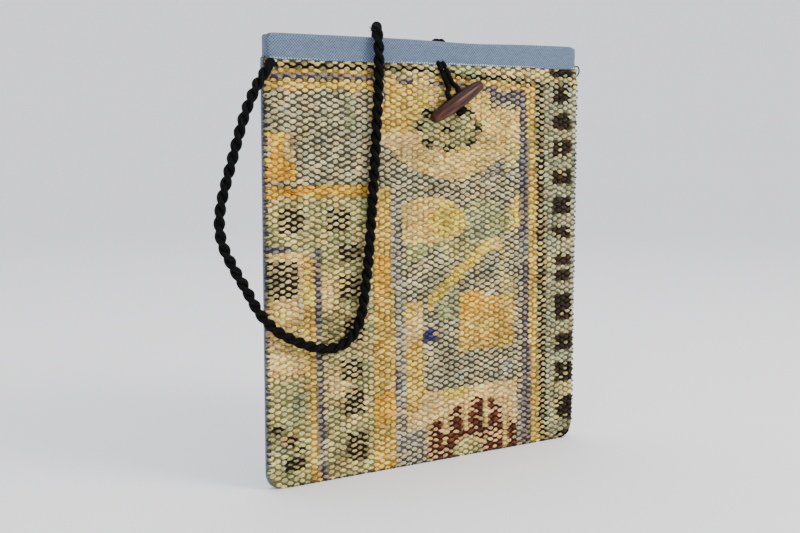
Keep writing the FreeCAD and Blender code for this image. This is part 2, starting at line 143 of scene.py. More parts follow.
def outward(obj):
    """Turns all faces outward."""
    bm = bmesh.new()
    bm.from_mesh(obj.data)
    bmesh.ops.recalc_face_normals(bm, faces=bm.faces)
    bm.to_mesh(obj.data)
    bm.free()
    return obj


def apply_modifiers(obj):
    """Bakes an object's modifiers into a plain mesh."""
    graph = bpy.context.evaluated_depsgraph_get()
    graph.update()
    mesh = bpy.data.meshes.new_from_object(obj.evaluated_get(graph), preserve_all_data_layers=True,
                                           depsgraph=graph)
    obj.modifiers.clear()
    obj.data = mesh
    mesh.name = obj.name
    return obj


def spline_points(route, resolution):
    """Points in millimetres along the smooth curve that a route controls."""
    curve = bpy.data.curves.new("route", "CURVE")
    curve.dimensions = "3D"
    spline = curve.splines.new("NURBS")
    spline.points.add(len(route) - 1)
    for point, place in zip(spline.points, route):
        point.co = (*[c * MM for c in place], 1.0)
    spline.order_u = 3
    spline.use_endpoint_u = True
    spline.resolution_u = resolution
    holder = bpy.data.objects.new("route", curve)
    mesh = bpy.data.meshes.new_from_object(holder)
    points = [v.co / MM for v in mesh.vertices]
    bpy.data.objects.remove(holder)
    bpy.data.meshes.remove(mesh)
    bpy.data.curves.remove(curve)
    return points


def spaced(points, step):
    """The same line with points at even distances."""
    out, left = [points[0]], step
    for a, b in zip(points, points[1:]):
        run = (b - a).length
        while left <= run:
            out.append(a.lerp(b, left / run))
            left += step
        left -= run
    if (out[-1] - points[-1]).length > step / 3:
        out.append(points[-1])
    return out


def frames(points):
    """Tangent and two normals at each point, carried along without twist."""
    out, side = [], None
    for i, p in enumerate(points):
        tangent = (points[min(i + 1, len(points) - 1)] - points[max(i - 1, 0)]).normalized()
        if side is None:
            side = tangent.cross(Vector((0.31, 0.85, 0.42))).normalized()
        side = (side - tangent * side.dot(tangent)).normalized()
        out.append((tangent, side, tangent.cross(side)))
    return out


def tube_data(points, radius, sides, ends=True, twist=0.0):
    """Rings round a line, closed at both ends. The radius may be a function of the distance."""
    verts, faces, uvs = [], [], []
    lengths = [0.0]
    for a, b in zip(points, points[1:]):
        lengths.append(lengths[-1] + (b - a).length)
    total = lengths[-1]
    for (tangent, side, up), p, s in zip(frames(points), points, lengths):
        r = radius(s, total) if callable(radius) else radius
        for k in range(sides):
            angle = 2 * math.pi * k / sides + twist * s
            verts.append(p + (side * math.cos(angle) + up * math.sin(angle)) * r)
    for i in range(len(points) - 1):
        for k in range(sides):
            n = (k + 1) % sides
            faces.append((i * sides + k, i * sides + n, (i + 1) * sides + n, (i + 1) * sides + k))
            uvs.append(((k / sides, lengths[i]), ((k + 1) / sides, lengths[i]),
                        ((k + 1) / sides, lengths[i + 1]), (k / sides, lengths[i + 1])))
    if ends:
        for centre, ring, s in ((points[0], 0, 0.0), (points[-1], len(points) - 1, total)):
            verts.append(centre)
            middle = len(verts) - 1
            for k in range(sides):
                n = (k + 1) % sides
                a, b = ring * sides + k, ring * sides + n
                faces.append((middle, b, a) if ring == 0 else (middle, a, b))
                uvs.append(((0.5, s), (0.5, s), (0.5, s)))
    return verts, faces, uvs


def joined(parts):
    """Several meshes' data as one."""
    verts, faces, uvs = [], [], []
    for v, f, u in parts:
        base = len(verts)
        verts += v
        faces += [tuple(i + base for i in face) for face in f]
        uvs += u
    return verts, faces, uvs


def tube_object(name, parts, material):
    """One object from tubes, with the distance along them in the second UV value."""
    verts, faces, uvs = joined(parts)
    obj = make_object(name, verts, faces, material)
    layer = obj.data.uv_layers.new(name="UVMap")
    flat = [c for face in uvs for uv in face for c in (uv[0], uv[1] * MM * 100)]
    layer.data.foreach_set("uv", flat)
    return outward(obj)


def round_ends(radius, start=True, end=True):
    """A tube radius that closes in half balls at its ends."""
    def at(s, total):
        r = radius
        for near, on in ((s, start), (total - s, end)):
            if on and near < radius:
                r = min(r, math.sqrt(max(radius ** 2 - (radius - near) ** 2, (0.12 * radius) ** 2)))
        return r
    return at


def fine_ends(points, radius):
    """The line with close points near its ends, so that half balls come out round."""
    shares = [0.0, 0.06, 0.2, 0.45, 0.75]
    first = (points[1] - points[0]).normalized()
    last = (points[-2] - points[-1]).normalized()
    inner = [p for p in points if (p - points[0]).length > radius and (p - points[-1]).length > radius]
    return ([points[0] + first * radius * s for s in shares] + inner
            + [points[-1] + last * radius * s for s in reversed(shares)])


# ---- materials ---------------------------------------------------------------------------------
def new_material(name, roughness, colour=(128, 128, 128), sheen=0.0):
    """A plain material, with its tree and its shader."""
    mat = bpy.data.materials.new(name)
    mat.use_nodes = True
    tree = mat.node_tree
    shader = tree.nodes["Principled BSDF"]
    shader.inputs["Base Color"].default_value = linear(colour)
    shader.inputs["Roughness"].default_value = roughness
    shader.inputs["Sheen Weight"].default_value = sheen
    return mat, tree, shader


def node(tree, kind, inputs=None, **settings):
    """A shader node whose inputs are linked to sockets or set to values."""
    made = tree.nodes.new(kind)
    for key, value in settings.items():
        setattr(made, key, value)
    for key, value in (inputs or {}).items():
        if isinstance(value, bpy.types.NodeSocket):
            tree.links.new(value, made.inputs[key])
        else:
            made.inputs[key].default_value = value
    return made


def maths(tree, operation, a, b=0.0):
    """The result of one sum on two values."""
    made = node(tree, "ShaderNodeMath", {0: a, 1: b}, operation=operation)
    return made.outputs[0]


def object_coordinates(tree, turn=0.0, stretch=(1, 1, 1)):
    """Object coordinates, turned about Y by some degrees and stretched."""
    place = node(tree, "ShaderNodeTexCoord").outputs["Object"]
    turned = node(tree, "ShaderNodeMapping", {"Vector": place, "Rotation": (0, math.radians(turn), 0)})
    return node(tree, "ShaderNodeMapping", {"Vector": turned.outputs[0], "Scale": stretch}).outputs[0]


def noise_at(tree, vector, scale, detail=3.0):
    """Soft noise, from 0 to 1."""
    return node(tree, "ShaderNodeTexNoise", {"Vector": vector, "Scale": scale, "Detail": detail}).outputs[0]


def ramp(tree, factor, *stops):
    """A colour for each value, from stops of a place and a colour."""
    made = node(tree, "ShaderNodeValToRGB", {"Fac": factor})
    elements = made.color_ramp.elements
    while len(elements) < len(stops):
        elements.new(0.5)
    for element, (place, colour) in zip(elements, stops):
        element.position = place
        element.color = linear(colour)
    return made.outputs["Color"]


def add_bump(tree, shader, height, distance, strength=1.0):
    """Fine relief on a surface."""
    made = node(tree, "ShaderNodeBump", {"Height": height, "Distance": distance, "Strength": strength})
    tree.links.new(made.outputs[0], shader.inputs["Normal"])


def wool_material():
    """Wool whose colour comes from the mesh, with fine fibres."""
    mat, tree, shader = new_material("wool", 0.95, sheen=0.03)
    shader.inputs["Specular IOR Level"].default_value = 0.2
    place = object_coordinates(tree)
    tint = node(tree, "ShaderNodeAttribute", attribute_name="tint").outputs["Color"]
    fibre = noise_at(tree, object_coordinates(tree, 0, (0.6, 1, 1.6)), 700, 4)
    cloud = noise_at(tree, place, 45, 3)
    shade = maths(tree, "ADD", maths(tree, "MULTIPLY", fibre, 0.5), maths(tree, "MULTIPLY", cloud, 0.35))
    grey = ramp(tree, shade, (0.31, (166, 160, 148)), (0.5, (255, 255, 255)))
    mixed = node(tree, "ShaderNodeMix", data_type="RGBA", blend_type="MULTIPLY")
    mixed.inputs["Factor"].default_value = 1.0
    tree.links.new(tint, mixed.inputs[6])
    tree.links.new(grey, mixed.inputs[7])
    tree.links.new(mixed.outputs[2], shader.inputs["Base Color"])
    add_bump(tree, shader, fibre, 0.0006, 0.7)
    return mat


def cotton_material(name, dark, light, pitch):
    """Plain weave: a fine chequer of two shades with small irregularities."""
    mat, tree, shader = new_material(name, 0.88, light, sheen=0.05)
    parts = node(tree, "ShaderNodeSeparateXYZ", {0: node(tree, "ShaderNodeTexCoord").outputs["Object"]})
    place = object_coordinates(tree)
    wander = maths(tree, "MULTIPLY", noise_at(tree, place, 60, 2), 0.0016)
    across = maths(tree, "ADD", maths(tree, "ADD", parts.outputs[0], parts.outputs[1]), wander)
    rate = 2 * math.pi / pitch
    warp = maths(tree, "SINE", maths(tree, "MULTIPLY", across, rate))
    weft = maths(tree, "SINE", maths(tree, "MULTIPLY", maths(tree, "ADD", parts.outputs[2], wander), rate))
    weave = maths(tree, "ADD", maths(tree, "MULTIPLY", maths(tree, "MULTIPLY", warp, weft), 0.5), 0.5)
    slub = noise_at(tree, object_coordinates(tree, 0, (1, 1, 7)), 260, 3)
    both = maths(tree, "ADD", maths(tree, "MULTIPLY", weave, 0.55), maths(tree, "MULTIPLY", slub, 0.45))
    colour = ramp(tree, both, (0.15, dark), (0.85, light))
    tree.links.new(colour, shader.inputs["Base Color"])
    add_bump(tree, shader, both, 0.00025, 0.6)
    return mat


def cord_material(name, colour, light, turns, lay):
    """Twisted or braided yarn along a tube, from its UV values. Its colour has painted shade: darker in the
    grooves of the twist, lighter on its ridges, with random fuzz.
    """
    mat, tree, shader = new_material(name, 0.82, colour)
    shader.inputs["Specular IOR Level"].default_value = 0.12
    uv = node(tree, "ShaderNodeUVMap", uv_map="UVMap").outputs[0]
    parts = node(tree, "ShaderNodeSeparateXYZ", {0: uv})
    around = maths(tree, "MULTIPLY", parts.outputs[0], 2 * math.pi * turns)
    along = maths(tree, "MULTIPLY", parts.outputs[1], 2 * math.pi / (lay * MM * 100))
    ridge = maths(tree, "SINE", maths(tree, "ADD", around, along))
    fuzz = noise_at(tree, object_coordinates(tree), 1400, 4)
    height = maths(tree, "ADD", maths(tree, "MULTIPLY", ridge, 0.4), fuzz)
    # painted shade: the grooves of the twist take the darker colour and the ridges the lighter one
    shade = ramp(tree, height, (0.2, colour), (0.95, light))
    tree.links.new(shade, shader.inputs["Base Color"])
    add_bump(tree, shader, height, 0.0004, 0.8)
    return mat


def thread_material(name, colour, light):
    """Sewing thread in two close shades."""
    mat, tree, shader = new_material(name, 0.75, colour)
    fuzz = noise_at(tree, object_coordinates(tree), 1800, 2)
    tree.links.new(ramp(tree, fuzz, (0.35, colour), (0.7, light)), shader.inputs["Base Color"])
    return mat


def wood_material():
    """Dark polished wood, its grain along the toggle."""
    mat, tree, shader = new_material("toggle_wood", 0.42, (54, 24, 13))
    shader.inputs["Specular IOR Level"].default_value = 0.15
    grain = object_coordinates(tree, TOGGLE_TILT, (0.1, 1, 1))
    streaks = noise_at(tree, grain, 420, 5)
    broad = noise_at(tree, grain, 90, 2)
    both = maths(tree, "ADD", maths(tree, "MULTIPLY", streaks, 0.6), maths(tree, "MULTIPLY", broad, 0.4))
    tree.links.new(ramp(tree, both, (0.36, (30, 12, 6)), (0.52, (54, 24, 13)), (0.66, (88, 46, 28))),
                   shader.inputs["Base Color"])
    shader.inputs["Coat Weight"].default_value = 0.12
    shader.inputs["Coat Roughness"].default_value = 0.12
    add_bump(tree, shader, streaks, 0.0001, 0.4)
    return mat


wool = wool_material()
blue_cotton = cotton_material("blue_cotton", (14, 28, 50), (119, 139, 164), 0.0026)
lining_cotton = cotton_material("lining_cotton", (176, 174, 166), (206, 204, 196), 0.0012)
dark_thread = thread_material("dark_thread", (18, 20, 30), (42, 46, 62))
pale_thread = thread_material("pale_thread", (150, 166, 186), (208, 216, 226))
rope_yarn = cord_material("black_rope", (1, 1, 1), (7, 7, 8), 5, 5.0)
cord_yarn = cord_material("black_cord", (1, 1, 1), (8, 8, 9), 6, 3.4)
toggle_wood = wood_material()

# ---- the carpet's pattern ----------------------------------------------------------------------
# Each yarn has the colour that shows between the knots and the colour of the knots.
YARNS = {
    "beige": ((130, 114, 66), (230, 208, 140)),
    "sage": ((122, 118, 68), (216, 202, 136)),
    "grey": ((74, 71, 54), (204, 192, 148)),
    "yellow": ((208, 172, 96), (255, 218, 130)),
    "bright": ((196, 164, 60), (250, 220, 104)),
    "ochre": ((174, 136, 50), (246, 206, 108)),
    "orange": ((196, 142, 36), (250, 194, 76)),
    "peach": ((206, 170, 106), (252, 215, 138)),
    "purple": ((58, 52, 70), (154, 142, 120)),
    "dusk": ((86, 88, 88), (196, 186, 150)),
    "teal": ((94, 106, 78), (196, 190, 136)),
    "green": ((122, 134, 80), (206, 200, 138)),
    "black": ((3, 4, 3), (200, 184, 116)),
    "brown": ((22, 8, 1), (206, 186, 122)),
    "block": ((8, 4, 1), (62, 44, 20)),
    "pale": ((108, 106, 76), (190, 185, 144)),
    "rust": ((56, 18, 2), (236, 190, 128)),
    "night": ((24, 28, 76), (66, 66, 104)),
}
# middle height and height of the dark blocks in the right border
BORDER_BLOCKS = [(358, 8), (336, 15), (311, 15), (285, 15), (258, 14), (231, 15), (204, 12),
                 (178, 11), (162, 10), (131, 24), (96, 15), (67, 20), (30, 24), (4, 8)]
# middle and size of the small wavy motifs on the left
LEFT_MOTIFS = [(-144, 227, 24, 20), (-99, 226, 22, 20), (-88, 197, 21, 15), (-87, 168, 21, 21),
               (-84, 131, 21, 21), (-86, 96, 21, 17), (-84, 67, 21, 22), (-81, 27, 20, 27),
               (-153, 178, 29, 32), (-160, 51, 14, 8), (-148, 40, 13, 8), (-138, 32, 10, 6),
               (-143, 20, 20, 13)]


def in_box(x, z, x0, x1, z0, z1):
    """Whether a place lies in a box."""
    return x0 <= x <= x1 and z0 <= z <= z1


def in_oval(x, z, cx, cz, rx, rz):
    """Whether a place lies in an oval."""
    return ((x - cx) / rx) ** 2 + ((z - cz) / rz) ** 2 <= 1


def yarn_at(x, z):
    """The yarn at a place of the carpet."""
    edge = 2.4 * noise.noise(Vector((x / 9, z / 9, 3.1)))
    wide = 9 * noise.noise(Vector((x / 30, z / 30, 8.7)))
    xs = x + (z - 250) * 0.03 + edge * 0.4
    dash = 357 - max(0.0, x + 50) * 0.062
    if xs > 117 and z < dash:
        if xs < 129:
            return "black" if xs > 118.5 else "ochre"
        for centre, height in BORDER_BLOCKS:
            if 140 < xs < 161 and abs(z - centre) < height / 2:
                return "block"
        return "sage" if wide > 4 else "pale"
    if z > dash + 2.4:
        if in_box(x, z, 136, 160, 352, 362):
            return "block"
        return "green" if wide > 3 else "beige"
    if z > dash - 2.6:
        return "black"
    deep = dash - z
    if x < -62:
        if deep < 7.6:
            return "ochre"
        if deep < 12.4:
            return "purple"
        if deep < 21 + edge:
            return "ochre" if wide < 2 else "bright"
        if z > 256 + edge:
            if in_box(x, z, -91, -82, 303, 334):
                return "teal"
            if in_box(x, z, -168, -139 + wide, 261, 301 + edge):
                return "orange" if wide > -2 else "peach"
            return "grey" if wide < 4.5 else "dusk"
        if z > 247 + edge:
            return "orange"
        for cx, cz, w, h in LEFT_MOTIFS:
            if abs(x - cx) < w / 2 + edge * 0.7 and abs(z - cz) < h / 2:
                return "brown"
        if x < -123 and 200.5 < z < 205.5:
            return "teal" if x > -145 else "purple"
        if z < 203 and -126 < xs < -119:
            return "purple" if wide > -3 else "dusk"
        if z < 200 and -135 < xs <= -126:
            return "ochre" if wide < 4 else "bright"
        if z < 203 and xs <= -135:
            if in_box(x, z, -143, -134, 63, 82) or in_box(x, z, -169, -150, 28, 45):
                return "teal"
            if z > 95:
                return "peach" if wide > 0 else "yellow"
            return "sage" if wide > -3 else "beige"
        if xs > -76 and 120 < z < 240 and edge > 0:
            return "green"
        if wide > 3.2:
            return "peach"
        return "sage" if wide < 0.5 else "beige"
    if deep < 8:
        return "beige" if x < 0 else "ochre"
    if z > 252 and deep < 12.4 and x < 85:
        return "purple" if noise.noise(Vector((x / 14, 0.3, 4.0))) > -0.1 else "yellow"
    if 99 < xs < 108.5 and z < 332:
        return "purple" if wide > -4 else "dusk"
    if 108.5 <= xs <= 117:
        return "ochre" if wide < 3 else "bright"
    if xs < -46 and z < 253:
        return "orange" if noise.noise(Vector((0.4, z / 26, 1.3))) > -0.1 else "ochre"
    if xs < -35 and z < 244:
        return "dusk" if wide < 3 else "purple"
    ring = ((x - 17) / 33) ** 2 + ((z - 305) / 19) ** 2
    if z > 262 + 0.006 * (x - 20) ** 2 - 4 + edge:
        if 0.72 < ring < 1.32 and math.cos(8 * math.atan2((z - 305) / 19, (x - 17) / 33)) > -0.35:
            return "black"
        if in_box(x, z, 8, 22, 302, 307):
            return "black"
        if ring < 1:
            return "sage"
        if x < -50 and deep < 30:
            return "dusk" if deep > 18 else "ochre"
        if x > 62 and z > 322 + edge:
            return "purple" if deep < 20 else "grey"
        if x < -20 or wide > 3:
            return "peach" if z < 300 else "ochre"
        return "bright" if wide < -4 else "yellow"
    if in_oval(x, z, -4, 222, 40 + wide, 22):
        return "bright" if in_oval(x, z, 14, 222, 20, 16) else "yellow"
    if in_oval(x, z, 52, 220, 28 + wide, 20):
        return "green" if wide > 0 else "teal"
    if z > 204 and x < 80:
        return "grey" if wide < 4 else "dusk"
    if x >= 78 and z > 150:
        return "grey" if wide < 1 else ("bright" if x > 90 else "sage")
    if abs(z - (152 + 0.76 * (x - 2))) < 7 and -6 < x < 66:
        return "bright"
    if x > 56 and z > 150:
        return "grey" if z < 190 else "yellow"
    if in_box(x, z, -30, 46, 186, 204) and wide > -1:
        return "green" if x < 20 else "sage"
    if in_oval(x, z, 24, 144, 7, 15):
        return "teal"
    if in_oval(x, z, 12, 140, 7, 12):
        return "green"
    if in_box(x, z, -10, 3, 112, 124):
        return "night"
    if in_box(x, z, 29 + edge, 94, 99 + edge, 155 + wide * 0.5):
        return "orange" if wide > 2 and x < 60 else "ochre"
    if xs < -14 and 31 < z < 150:
        return "ochre" if wide < 1 else "peach"
    if z > 122:
        return "grey" if z < 186 or x < 10 else "sage"
    if z > 66:
        return "grey" if wide < 3.5 or x < 30 else "dusk"
    if in_oval(x, z, 40, 4, 17, 14):
        return "sage"
    if xs < -14 or xs > 92:
        return "dusk" if z < 48 else "grey"
    if z > 48 - 0.012 * (x - 42) ** 2 + 10:
        return "bright" if in_oval(x, z, 24, 62, 14, 8) else "peach"
    petal = math.cos((x - 49) / 3.75)
    if petal > -0.35 and z < 55 - 0.006 * (x - 60) ** 2:
        return "rust"
    if z < 26 and -4 < x < 82 and edge > -0.7:
        return "rust"
    return "peach"


def tinted(colour, x, z, spread):
    """A yarn's colour with the differences that hand-spun wool has."""
    patch = noise.noise(Vector((x / 16, z / 16, 5.5)))
    shade = 1 + spread * rng.uniform(-0.7, 0.7) + 0.10 * patch
    warm = 1 + 0.05 * rng.uniform(-1, 1) + 0.05 * patch
    return linear([min(255, max(0, c * shade * k)) for c, k in zip(colour, (warm, 1.0, 2 - warm))])


def knot_place(column, row):
    """The middle of a knot. Every other column is half a row higher."""
    x = -RUG_HALF + (column + 0.5) * COLUMN_PITCH
    z = (row + 0.5 + (0.25 if column % 2 else -0.25)) * ROW_PITCH
    return x, z


def outline_half(z, half=RUG_HALF, corner=CORNER):
    """Half of a panel's width at a height, with its rounded bottom corners."""
    if z >= corner:
        return half
    return half - corner + math.sqrt(max(corner ** 2 - (corner - z) ** 2, 0))


def front_wave(x, z):
    """How much the carpet's face bulges, in millimetres."""
    return 0.35 * noise.noise(Vector((x / 90, z / 110, 1.7)))


# ---- geometry node trees -----------------------------------------------------------------------
def scatter_tree(name, shape):
    """A tree that puts a small shape on every point, with its size and place varied a little."""
    tree = bpy.data.node_groups.new(name, "GeometryNodeTree")
    face = tree.interface
    face.new_socket("Geometry", in_out="INPUT", socket_type="NodeSocketGeometry")
    size = face.new_socket("Size", in_out="INPUT", socket_type="NodeSocketVector")
    vary = face.new_socket("Vary", in_out="INPUT", socket_type="NodeSocketFloat")
    shift = face.new_socket("Shift", in_out="INPUT", socket_type="NodeSocketVector")
    tilt = face.new_socket("Tilt", in_out="INPUT", socket_type="NodeSocketVector")
    turn = face.new_socket("Turn", in_out="INPUT", socket_type="NodeSocketVector")
    seed = face.new_socket("Seed", in_out="INPUT", socket_type="NodeSocketInt")
    finish = face.new_socket("Material", in_out="INPUT", socket_type="NodeSocketMaterial")
    face.new_socket("Geometry", in_out="OUTPUT", socket_type="NodeSocketGeometry")
    add = tree.nodes.new
    link = tree.links.new
    given, result = add("NodeGroupInput"), add("NodeGroupOutput")

    def rand_vector(low, high, offset):
        made = add("FunctionNodeRandomValue")
        made.data_type = "FLOAT_VECTOR"
        step = add("ShaderNodeMath")
        step.operation = "ADD"
        link(given.outputs["Seed"], step.inputs[0])
        step.inputs[1].default_value = offset
        link(step.outputs[0], made.inputs["Seed"])
        made.inputs["Min"].default_value = low
        made.inputs["Max"].default_value = high
        return made.outputs["Value"]

    def vector_maths(operation, a, b):
        made = add("ShaderNodeVectorMath")
        made.operation = operation
        link(a, made.inputs[0])
        if isinstance(b, bpy.types.NodeSocket):
            link(b, made.inputs[1])
        else:
            made.inputs[1].default_value = b
        return made.outputs[0]

    moved = add("GeometryNodeSetPosition")
    link(given.outputs["Geometry"], moved.inputs["Geometry"])
    link(vector_maths("MULTIPLY", rand_vector((-1, -1, -1), (1, 1, 1), 1), given.outputs["Shift"]),
         moved.inputs["Offset"])
    if shape == "ball":
        unit = add("GeometryNodeMeshUVSphere")
        unit.inputs["Segments"].default_value = 8
        unit.inputs["Rings"].default_value = 4
        unit.inputs["Radius"].default_value = 0.5
        body = unit.outputs["Mesh"]
    else:
        bow = add("GeometryNodeCurveArc")
        bow.mode = "RADIUS"
        bow.inputs["Resolution"].default_value = 6
        bow.inputs["Radius"].default_value = 0.5
        bow.inputs["Start Angle"].default_value = math.radians(-105)
        bow.inputs["Sweep Angle"].default_value = math.radians(210)
        ring = add("GeometryNodeCurvePrimitiveCircle")
        ring.inputs["Resolution"].default_value = 5
        ring.inputs["Radius"].default_value = 0.13
        swept = add("GeometryNodeCurveToMesh")
        link(bow.outputs["Curve"], swept.inputs["Curve"])
        link(ring.outputs["Curve"], swept.inputs["Profile Curve"])
        swept.inputs["Fill Caps"].default_value = True
        body = swept.outputs["Mesh"]
    placed = add("GeometryNodeInstanceOnPoints")
    link(moved.outputs["Geometry"], placed.inputs["Points"])
    link(body, placed.inputs["Instance"])
    spin = vector_maths("ADD", given.outputs["Turn"],
                        vector_maths("MULTIPLY", rand_vector((-1, -1, -1), (1, 1, 1), 2),
                                     given.outputs["Tilt"]))
    to_turn = add("FunctionNodeEulerToRotation")
    link(spin, to_turn.inputs[0])
    link(to_turn.outputs[0], placed.inputs["Rotation"])
    spread = add("ShaderNodeVectorMath")
    spread.operation = "SCALE"
    link(rand_vector((-1, -1, -1), (1, 1, 1), 3), spread.inputs[0])
    link(given.outputs["Vary"], spread.inputs["Scale"])
    share = vector_maths("ADD", spread.outputs[0], (1, 1, 1))
    link(vector_maths("MULTIPLY", share, given.outputs["Size"]), placed.inputs["Scale"])
    real = add("GeometryNodeRealizeInstances")
    link(placed.outputs["Instances"], real.inputs["Geometry"])
    shade = add("GeometryNodeSetShadeSmooth")
    link(real.outputs["Geometry"], shade.inputs["Geometry"])
    paint = add("GeometryNodeSetMaterial")
    link(shade.outputs["Geometry"], paint.inputs["Geometry"])
    link(given.outputs["Material"], paint.inputs["Material"])
    link(paint.outputs["Geometry"], result.inputs["Geometry"])
    return tree, {"Size": size.identifier, "Vary": vary.identifier, "Shift": shift.identifier,
                  "Tilt": tilt.identifier, "Turn": turn.identifier, "Seed": seed.identifier,
                  "Material": finish.identifier}


def scatter(name, group, places, tints, material, size, vary, shift, tilt, turn, seed):
    """One plain mesh with a small shape at every place."""
    tree, keys = group
    mesh = bpy.data.meshes.new(name)
    mesh.from_pydata([tuple(c * MM for c in p) for p in places], [], [])
    if tints:
        layer = mesh.attributes.new("tint", "FLOAT_COLOR", "POINT")
        layer.data.foreach_set("color", [c for t in tints for c in t])
    obj = bpy.data.objects.new(name, mesh)
    bpy.context.collection.objects.link(obj)
    modifier = obj.modifiers.new("scatter", "NODES")
    modifier.node_group = tree
    modifier[keys["Size"]] = [s * MM for s in size]
    modifier[keys["Vary"]] = vary
    modifier[keys["Shift"]] = [s * MM for s in shift]
    modifier[keys["Tilt"]] = [math.radians(t) for t in tilt]
    modifier[keys["Turn"]] = [math.radians(t) for t in turn]
    modifier[keys["Seed"]] = seed
    modifier[keys["Material"]] = material
    apply_modifiers(obj)
    if not obj.data.materials:
        obj.data.materials.append(material)
    return obj


ball_tree = scatter_tree("knots", "ball")
bow_tree = scatter_tree("stitches", "bow")


# ---- carpet ------------------------------------------------------------------------------------
def closed_sheet(name, grid, thickness, material, offset=-1):
    """A grid of points as a sheet of even thickness. The offset side is behind the points."""
    rows, columns = len(grid), len(grid[0])
    verts = [p for row in grid for p in row]
    faces = [(r * columns + c, r * columns + c + 1, (r + 1) * columns + c + 1, (r + 1) * columns + c)
             for r in range(rows - 1) for c in range(columns - 1)]
    obj = make_object(name, verts, faces, material)
    solid = obj.modifiers.new("thick", "SOLIDIFY")
    solid.thickness = thickness * MM
    solid.offset = offset
    solid.use_even_offset = True
    solid.use_rim = True
    apply_modifiers(obj)
    return outward(obj)


def paint_vertices(obj, colour_of):
    """Gives every point of a mesh the colour of its place."""
    layer = obj.data.attributes.new("tint", "FLOAT_COLOR", "POINT")
    values = []
    for v in obj.data.vertices:
        values += colour_of(v.co.x / MM, v.co.z / MM)
    layer.data.foreach_set("color", values)


def shade_of(colour, share):
    """A darker shade of a colour."""
    return [c * share for c in colour]


def ground_colour_with_painted_shade(x, z):
    """Between the knots of a row the ground is a blend of both yarns, painted darker than either as painted
    shade in the gaps between the knots.
    """
    ground, knot = YARNS[yarn_at(x, z)]
    # painted shade: the two weights add up to 0.75, so the blend comes out darker than both yarns
    return linear([0.45 * a + 0.3 * b for a, b in zip(ground, knot)])


def carpet_ground():
    """The carpet's ground, behind its knots."""
    grid = []
    heights = [0.0, 0.7, 2.2, 4.6, 8.0, 12.0]
    heights += [CORNER + k * (BAND_BOTTOM - CORNER) / 90 for k in range(91)]
    for z in heights:
        half = outline_half(z) - 0.5
        row = []
        for k in range(85):
            s = -1 + 2 * k / 84
            x = half * math.sin(s * math.pi / 2) * 0.12 + half * s * 0.88
            row.append((x, RUG_FRONT + 1.1 + front_wave(x, z), z))
        grid.append(row)
    obj = closed_sheet("carpet", grid, 2.5, wool)
    # the ground's colour carries painted shade between the knots
    paint_vertices(obj, ground_colour_with_painted_shade)
    return obj


def carpet_knots():
    """The knots, in two pieces, one above the other."""
    made = []
    for part, (first, last) in enumerate(((0, ROWS // 2), (ROWS // 2, ROWS))):
        places, tints = [], []
        for row in range(first, last):
            for column in range(COLUMNS):
                x, z = knot_place(column, row)
                if abs(x) > outline_half(z) - 2.2:
                    continue
                ground, knot = YARNS[yarn_at(x, z)]
                if ground[0] < 30 and rng.random() < 0.3:
                    knot = YARNS["black"][1] if knot[0] < 100 else shade_of(knot, 0.75)
                if yarn_at(x, z) == "rust" and rng.random() < 0.4:
                    knot = (112, 62, 34)
                places.append((x, RUG_FRONT + 0.75 + front_wave(x, z), z))
                tints.append(tinted(knot, x, z, 0.17))
        made.append(scatter(f"carpet_knots_{part + 1}", ball_tree, places, tints, wool,
                            (7.2, 2.6, 3.7), 0.23, (0.65, 0.3, 0.5), (8, 17, 13), (0, 0, 0), 5 + part))
    return made


def carpet_wefts():
    """The coloured yarn that winds between the knots, row by row, in two pieces."""
    made = []
    samples = 4
    for part, (first, last) in enumerate(((0, ROWS // 2), (ROWS // 2, ROWS))):
        verts, faces, tints = [], [], []
        for row in range(first, last):
            base_z = row * ROW_PITCH
            start = None
            for step in range(COLUMNS * samples + 1):
                x = -RUG_HALF + 1.0 + step * (2 * RUG_HALF - 2.0) / (COLUMNS * samples)
                phase = (x + RUG_HALF) / COLUMN_PITCH - 0.5
                z = base_z - 0.25 * ROW_PITCH * math.cos(math.pi * phase)
                z += 0.35 * noise.noise(Vector((x / 5, base_z, 2.0)))
                if z < 0.6 or z > BAND_BOTTOM - 0.5 or abs(x) > outline_half(z) - 0.8:
                    start = None
                    continue
                yarn = YARNS[yarn_at(x, z)][0]
                dark = sum(yarn) < 190
                thick = 1.6 if dark else 1.15
                thick *= 1 + 0.35 * noise.noise(Vector((x / 4, base_z, 6.0)))
                thick *= 1 - 0.25 * math.sin(math.pi * (phase + 0.5)) ** 2 * (0 if dark else 1)
                y = RUG_FRONT + 0.95 + front_wave(x, z) - (0.6 if dark else 0.15)
                colour = tinted(yarn, x, z, 0.10)
                ring = len(verts)
                for dy, dz in ((-0.85, 0.0), (0.0, thick), (0.85, 0.0), (0.0, -thick)):
                    verts.append((x, y + dy, z + dz))
                    tints.append(colour)
                if start is not None:
                    for k in range(4):
                        n = (k + 1) % 4
                        faces.append((start + k, start + n, ring + n, ring + k))
                else:
                    faces.append((ring, ring + 1, ring + 2, ring + 3))
                start = ring
        obj = make_object(f"carpet_wefts_{part + 1}", verts, faces, wool)
        layer = obj.data.attributes.new("tint", "FLOAT_COLOR", "POINT")
        layer.data.foreach_set("color", [c for t in tints for c in t])
        made.append(outward(obj))
    return made


# ---- cotton ------------------------------------------------------------------------------------
def back_wave(x, z):
    """How the cotton back sags and ripples, in millimetres."""
    fold = 0.5 * noise.noise(Vector((x / 45, z / 120, 7.7)))
    fold += 0.25 * noise.noise(Vector((x / 18, z / 40, 2.2)))
    middle = max(0.0, 1 - abs(x) / WALL_HALF)
    return fold * min(1.0, 4 * middle)


